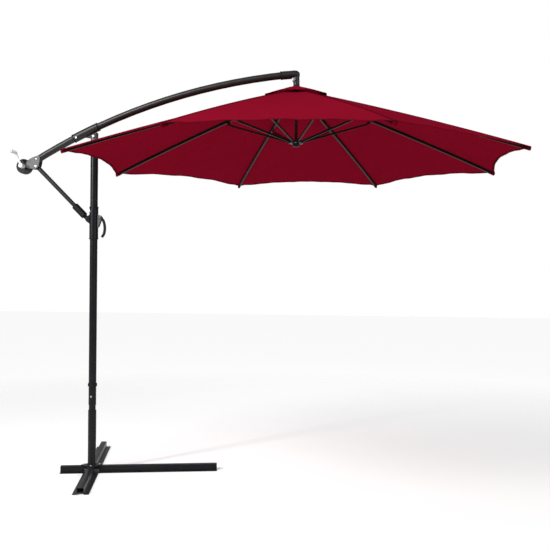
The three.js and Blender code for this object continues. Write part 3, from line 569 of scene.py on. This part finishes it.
def cloth_point(k, side, share):
    """A point of the cloth on eighth k: side is -1 to 1 from gore middle to gore middle, and share is 0 at
    the vent to 1 at the hem."""
    panel = abs(side)
    gore = (k if side > 0 else k - 1) % RIBS  # both halves of a gore ripple alike
    dip = SCALLOP * (1 - (1 - panel) ** 2)
    rim = TIP_RADIUS - dip / math.cos(HALF)
    ring = VENT + (rim - VENT) * share
    out = ring * (1 - panel * math.sin(HALF) ** 2)
    across = ring * math.cos(HALF) * math.sin(HALF) * side
    fill = panel * (2 - panel)
    drop = SAG * math.sin(math.pi * min(share, 1.0)) ** 0.8 * fill
    drop += 0.0045 * wave(2, panel) * share ** 9 * (0.7 + 0.3 * math.sin(2.4 * gore))
    drop += 0.0016 * wave(5, panel) * share ** 3 * math.sin(1.7 * gore + 0.6)
    to_tip = math.hypot(TIP_RADIUS - out, across)
    fan = math.atan2(across, TIP_RADIUS - out + 0.02)
    drop += 0.0022 * math.exp(-((to_tip / 0.30) ** 2)) * math.sin(9 * fan) ** 2
    place = outward(k) * out + sideways(k) * across
    return Vector((AXIS_X + place.x, place.y, rib_line(ring) + CLOTH_CLEAR - drop))


NEAR_RIB = [0.0, 0.006, 0.014, 0.028, 0.05, 0.08, 0.12, 0.17, 0.23]  # close together, where the cloth bends
HALF_SIDES = NEAR_RIB + [0.30, 0.37, 0.44, 0.51, 0.58, 0.65, 0.72, 0.79, 0.86, 0.93, 1.0]
SIDES = [-s for s in reversed(HALF_SIDES[1:])] + HALF_SIDES
ROWS = 84
CAP_ROWS = 16
CLOTH_LENGTH = (TIP_RADIUS - VENT) / math.cos(SLOPE)


def flat_cut(side, share, inner, outer):
    """Where a point lies on the flat cut: across and along, in metres."""
    ring = inner + (outer - inner) * share
    return ring * math.sin(HALF) * side, ring / math.cos(SLOPE)


def strip(line, widths, lifts):
    """A closed ribbon along a line of (point, across, up) frames. widths and lifts are its section."""
    rings = [[p + a * w + u * h for w, h in zip(widths, lifts)] for p, a, u in line]
    return loft(rings)


def run_lengths(points):
    runs = [0.0]
    for a, b in zip(points, points[1:]):
        runs.append(runs[-1] + (b - a).length)
    return runs


def cloth_normal(k, side, share):
    step = 0.004
    ahead = cloth_point(k, side, min(share + step, 1.0)) - cloth_point(k, side, share - step)
    limit = min(max(side, step - 1), 1 - step)
    beside = cloth_point(k, limit + step, share) - cloth_point(k, limit - step, share)
    normal = beside.cross(ahead).normalized()
    return normal if normal.z > 0 else -normal


def squashed(obj):
    """Gives a piece of cloth a mesh of its own."""
    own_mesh(obj)


def edge_frames(edge, inner, ups=None):
    """(point, inward, up) along a line of edge points, from the points just inside them."""
    frames = []
    for i, p in enumerate(edge):
        ahead = edge[min(i + 1, len(edge) - 1)] - edge[max(i - 1, 0)]
        inside = inner[i] - p
        inside = (inside - ahead * (inside.dot(ahead) / ahead.length_squared)).normalized()
        up = ups[i] if ups else inside.cross(ahead).normalized()
        frames.append((p, inside, up if up.z > 0 else -up))
    return frames


def make_cloth(k):
    rows = [i / ROWS for i in range(ROWS + 1)]
    grid = [[cloth_point(k, side, share) for side in SIDES] for share in rows]
    points, faces = shell(grid, CLOTH_THICK)
    cut = [flat_cut(side, share, VENT, TIP_RADIUS) for share in rows for side in SIDES]
    cloth = piece(f"canopy_cloth_{k}", points, faces, f"rib_{k}", "canopy_fabric", uv=cut + cut)
    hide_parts(f"canopy_panel_{k}")

    # The folded hem wraps the scalloped edge, with a second one round the vent; both are coloured darker than
    # the cloth, as painted shade.
    extras = []
    hem_sides = [i / 40 for i in range(-40, 41)]
    for name, share, inward in (("hem", 1.0, -1), ("vent_hem", 0.0, 1)):
        edge = [cloth_point(k, side, share) for side in hem_sides]
        ups = [cloth_normal(k, side, share) if share else Vector((0, 0, 1)) for side in hem_sides]
        inner = [cloth_point(k, side, share + inward * HEM / CLOTH_LENGTH) for side in hem_sides]
        widths = [-0.0016, 0.001, HEM, HEM, 0.001, -0.0016]
        lifts = [-0.0010, -0.0019, -0.0016, 0.0009, 0.0013, 0.0003]
        made = strip(edge_frames(edge, inner, ups), widths, lifts)
        uv = [(w, r) for r in run_lengths(edge) for w in widths]
        hem = piece(f"canopy_{name}_{k}", *made, f"rib_{k}", "canopy_fabric", material=shaded_hem_fabric, uv=uv)
        extras.append(hem)

    # The felled seam over the rib, coloured darker than the cloth as painted shade along the rib line
    spine = [cloth_point(k, 0.0, share) for share in rows]
    rise = math.tan(SLOPE) * math.tan(HALF)  # how fast the cloth falls away to each side of the rib
    widths = [-SEAM, -SEAM * 0.5, 0.0, SEAM * 0.5, SEAM, SEAM, 0.0, -SEAM]
    tops = [0.0010, 0.0018, 0.0022, 0.0018, 0.0010, 0.0001, 0.0002, 0.0001]
    lifts = [t - abs(w) * rise * 0.95 for w, t in zip(widths, tops)]
    frames = [(p, sideways(k), Vector((0, 0, 1))) for p in spine]
    made = strip(frames, widths, lifts)
    uv = [(w, r) for r in run_lengths(spine) for w in widths]
    extras.append(piece(f"canopy_seam_{k}", *made, f"rib_{k}", "canopy_fabric", material=shaded_seam_fabric, uv=uv))

    for obj in (cloth, *extras):
        squashed(obj)


def cap_point(k, side, share):
    """A point of the vent cap on eighth k, from its hole to its edge."""
    panel = abs(side)
    ring = CAP_HOLE + (CAP_RADIUS - CAP_HOLE) * share
    out = ring * (1 - panel * math.sin(HALF) ** 2)
    across = ring * math.cos(HALF) * math.sin(HALF) * side
    drop = 0.0035 * math.sin(math.pi * share) * panel * (2 - panel)
    drop -= 0.0030 * math.sin(math.pi * share)
    drop += 0.0016 * wave(2, panel) * share ** 4
    place = outward(k) * out + sideways(k) * across
    height = CAP_EDGE_Z + (CAP_RADIUS - ring) * CAP_RISE
    return Vector((AXIS_X + place.x, place.y, height + 0.001 - drop))


def blended(obj):
    """Bakes a cap piece's placement into its mesh."""
    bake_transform(obj)


def make_cap(k):
    sides = SIDES[::2]
    rows = [i / CAP_ROWS for i in range(CAP_ROWS + 1)]
    grid = [[cap_point(k, side, share) for side in sides] for share in rows]
    points, faces = shell(grid, CLOTH_THICK)
    cut = [flat_cut(side, share, CAP_HOLE, CAP_RADIUS) for share in rows for side in sides]
    cap = piece(f"vent_cap_cloth_{k}", points, faces, None, "canopy_fabric", uv=cut + cut)
    if k == 1:
        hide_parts("vent_cap")
    edge_sides = [i / 16 for i in range(-16, 17)]
    edge = [cap_point(k, side, 1.0) for side in edge_sides]
    inner = [cap_point(k, side, 1.0 - HEM / (CAP_RADIUS - CAP_HOLE)) for side in edge_sides]
    widths = [-0.0015, 0.001, HEM, HEM, 0.001, -0.0015]
    lifts = [-0.0010, -0.0019, -0.0015, 0.0008, 0.0012, 0.0002]
    made = strip(edge_frames(edge, inner), widths, lifts)
    uv = [(w, r) for r in run_lengths(edge) for w in widths]
    # The cap's hem uses the darker hem cloth, which is painted shade
    hem = piece(f"vent_cap_hem_{k}", *made, None, "canopy_fabric", material=shaded_hem_fabric, uv=uv)
    for obj in (cap, hem):
        blended(obj)


def rounded_ring(frame_at, half_width, half_height, radius, steps=4):
    """Points round a rectangle with round corners, in the plane of a frame (point, across, up)."""
    p, across, up = frame_at
    ring = []
    for corner in range(4):
        sx, sy = ((1, 1), (-1, 1), (-1, -1), (1, -1))[corner]
        for s in range(steps + 1):
            turn = math.pi / 2 * (corner + s / steps)
            x = sx * (half_width - radius) + radius * math.cos(turn)
            y = sy * (half_height - radius) + radius * math.sin(turn)
            ring.append(p + across * x + up * y)
    return ring


RIB_TOP = RIB_LIFT + RIB_HEIGHT / 2 + 0.0008  # from the hinge line to the underside of the cloth
RIB_LENGTH = (TIP_RADIUS - PIVOT_RADIUS - RIB_TOP * math.sin(SLOPE)) / math.cos(SLOPE)
CROWN_Z = TIP_Z + RIB_LENGTH * math.sin(SLOPE) - RIB_TOP * math.cos(SLOPE)


def rib_place(k, along_rib, lift=RIB_LIFT):
    """A point on a rib's own line: a distance from its hinge, and a lift from the hinge line."""
    share = along_rib / RIB_LENGTH
    down = outward(k) * math.cos(SLOPE) - Vector((0, 0, math.sin(SLOPE)))
    up = outward(k) * math.sin(SLOPE) + Vector((0, 0, math.cos(SLOPE)))
    hinge = Vector((AXIS_X, 0.0, CROWN_Z)) + outward(k) * PIVOT_RADIUS
    return hinge + down * along_rib + up * (lift + 4 * BOW * share * (1 - share)), down, up


def make_rib_fittings(k):
    """The cloth pocket over the rib's end, coloured darker as painted shade, and the rivets where the strut
    joins the rib.
    """
    across = sideways(k)
    rings = []
    stations = [
        (-0.002, 0.0062, 0.0092),
        (-0.044, 0.0062, 0.0092),
        (-0.044, 0.0076, 0.0106),
        (-0.004, 0.0076, 0.0106),
        (0.0016, 0.0070, 0.0098),
        (0.0028, 0.0052, 0.0080),
    ]
    for offset, half_width, half_height in stations:
        p, _, up = rib_place(k, RIB_LENGTH + offset, RIB_LIFT - 0.0012)
        rings.append(rounded_ring((p, across, up), half_width, half_height, 0.0022))
    points, faces = loft(rings)
    uv = [(0.002 * i, 0.001 * (i % 7)) for i in range(len(points))]
    piece(f"rib_pocket_{k}", points, faces, f"rib_{k}", "canopy_fabric", material=shaded_pocket_fabric, uv=uv)

    parts = []
    spot, _, _ = rib_place(k, LINK, 0.0)
    for way in (-1, 1):
        face = spot + across * way * (RIB_WIDTH / 2 + 0.0002)
        parts.append(dome_rivet(face, across * way, 0.0052, 0.0024))
    piece(f"rib_rivets_{k}", *merged(*parts), f"rib_{k}", "rib_paint")


for k in range(1, RIBS + 1):
    make_cloth(k)
    make_cap(k)
    make_rib_fittings(k)


# ---------------------------------------------------------------- small hardware


def front_of(node):
    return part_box(node)[0].y


def back_of(node):
    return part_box(node)[1].y


FRONT, BACK, UP = Vector((0, -1, 0)), Vector((0, 1, 0)), Vector((0, 0, 1))


def through_bolt(name, node, body, x, z, across=0.010, height=0.0045, reach=0.0, slot="zinc_steel"):
    """A hexagon head on the front of a node and its nut on the back."""
    head = hex_bolt(Vector((x, front_of(node) + reach, z)), FRONT, across, height)
    nut = hex_bolt(Vector((x, back_of(node) - reach, z)), BACK, across, height * 0.9)
    piece(name, *merged(head, nut), body, slot)


slider_low, slider_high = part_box("slider_sleeve")
through_bolt("slider_clamp_bolt", "slider_sleeve", "slider", -0.021, slider_high.z - 0.022, reach=0.010)
through_bolt("elbow_bolt", "elbow_casting", "arm", 1.275, 2.485)
through_bolt(
    "lever_pivot_bolt", "lever_bracket", "slider", 0.046, 1.624, across=0.009, height=0.0035, slot="grey_cast"
)

# Arm arc, as the CAD model has it
ARC_X, ARC_Z, ARC_RADIUS = 1.556, -1.219, 3.7516
ARM_RADIUS = 0.022
POLE_RADIUS = 0.024


def arm_at(x):
    """The arm's centre line at x, and its direction there."""
    reach = x - ARC_X
    height = math.sqrt(ARC_RADIUS ** 2 - reach ** 2)
    return Vector((x, 0.0, ARC_Z + height)), Vector((height, 0.0, -reach)).normalized()


def bushing(name, origin, axis, bore, radius, length, body):
    """A moulded ring with rounded lips."""
    lip = min(0.0016, length / 3)
    profile = [
        (bore, 0.0), (bore, length), (radius - lip, length), (radius - lip * 0.3, length - lip * 0.3),
        (radius, length - lip), (radius, lip), (radius - lip * 0.3, lip * 0.3), (radius - lip, 0.0),
    ]
    piece(name, *turned(profile, origin, axis, sides=48, closed=True), body, "black_plastic")


FIT = 0.0002  # clearance of the rings
bushing("slider_bushing_top", (0, 0, slider_high.z + FIT), UP, POLE_RADIUS + FIT, 0.0295, 0.008, "slider")
bushing("slider_bushing_low", (0, 0, slider_low.z - FIT), -UP, POLE_RADIUS + FIT, 0.0295, 0.008, "slider")
for name, x, way in (("high", 0.0206, 1), ("low", -0.1306, -1)):
    at, direction = arm_at(x)
    bushing(f"arm_sleeve_ring_{name}", at, direction * way, ARM_RADIUS + FIT, 0.0282, 0.007, "arm")
at, direction = arm_at(1.1993)
bushing("elbow_ring", at, -direction, ARM_RADIUS + FIT, 0.0272, 0.008, "arm")
drop = middle("drop_link")
bushing("drop_collar", (drop.x, 0, 2.4515), -UP, 0.017 + FIT, 0.0215, 0.006, "arm")

# The weld round the foot of the pole
WELD_SIDES = 120
WELD_STEPS = 6
WELD_RADIUS = 0.0261
WELD_FOOT = 0.0453 + 0.0001
weld_rings = []
for step in range(WELD_STEPS + 1):
    turn = math.pi / 2 * step / WELD_STEPS
    ring = []
    for k in range(WELD_SIDES):
        around = 2 * math.pi * k / WELD_SIDES
        bead = 0.0045 * (1 + 0.16 * math.sin(30 * around + 0.8 * math.sin(3 * around)))
        radius = WELD_RADIUS + bead * math.cos(turn)
        height = WELD_FOOT + bead * math.sin(turn)
        ring.append(Vector((radius * math.cos(around), radius * math.sin(around), height)))
    weld_rings.append(ring)
turns = [2 * math.pi * k / WELD_SIDES for k in range(WELD_SIDES)]
weld_rings.append([Vector((WELD_RADIUS * math.cos(t), WELD_RADIUS * math.sin(t), WELD_FOOT)) for t in turns])
points = [p for ring in weld_rings for p in ring]
faces = []
for i in range(len(weld_rings)):
    a, b = i * WELD_SIDES, (i + 1) % len(weld_rings) * WELD_SIDES
    for k in range(WELD_SIDES):
        n = (k + 1) % WELD_SIDES
        faces.append((a + k, a + n, b + n, b + k))
piece("foot_weld", points, faces, "pole", "black_paint")

# Screws of the arm's end bracket, the crank's hub, and the knob's bands
screw_at, _ = arm_at(-0.374)
bracket_low, bracket_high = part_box("arm_end_bracket")
heads = [
    dome_rivet((screw_at.x, bracket_low.y - 0.0001, screw_at.z), FRONT, 0.0058, 0.0030),
    dome_rivet((screw_at.x, bracket_high.y + 0.0001, screw_at.z), BACK, 0.0058, 0.0030),
]
piece("arm_end_screws", *merged(*heads), "arm", "zinc_steel")
spool = middle("cord_spool")
HUB_FACE = -0.0677
hub_profile = [
    (0.0135, 0.0), (0.0135, 0.0022), (0.0122, 0.0034), (0.0085, 0.0040), (0.0080, 0.0030), (0.0004, 0.0030),
]
piece("crank_hub_cap", *turned(hub_profile, (spool.x, HUB_FACE, spool.z), FRONT), "crank", "crank_metal")
hub_screw = dome_rivet((spool.x, HUB_FACE - 0.0031, spool.z), FRONT, 0.0052, 0.0026)
piece("crank_hub_screw", *hub_screw, "crank", "zinc_steel")
knob = middle("crank_knob")
knob_end = front_of("crank_knob")
band = [(0.0111, 0.0), (0.0111, 0.0050), (0.0118, 0.0042), (0.0122, 0.0025), (0.0118, 0.0008)]
grip_parts = []
for k in range(5):
    y = knob_end + 0.012 + 0.0125 * k
    grip_parts.append(turned(band, (knob.x, y, knob.z), BACK, sides=32, closed=True))
piece("crank_grip_bands", *merged(*grip_parts), "crank_grip", "grip_plastic")

# Rivets on the hubs' rims, between the rib slots
for name, node, body in (("crown", "crown_hub", "arm"), ("runner", "runner_hub", "runner")):
    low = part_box(node)[0].z
    plate_under = low if name == "crown" else low + 0.022  # the runner's post hangs below its plate
    parts = []
    for k in range(RIBS):
        turn = 2 * math.pi * k / RIBS
        spot = (AXIS_X + 0.038 * math.cos(turn), 0.038 * math.sin(turn), plate_under - 0.0001)
        parts.append(dome_rivet(spot, -UP, 0.0038, 0.0018))
    piece(f"{name}_rivets", *merged(*parts), body, "zinc_steel")
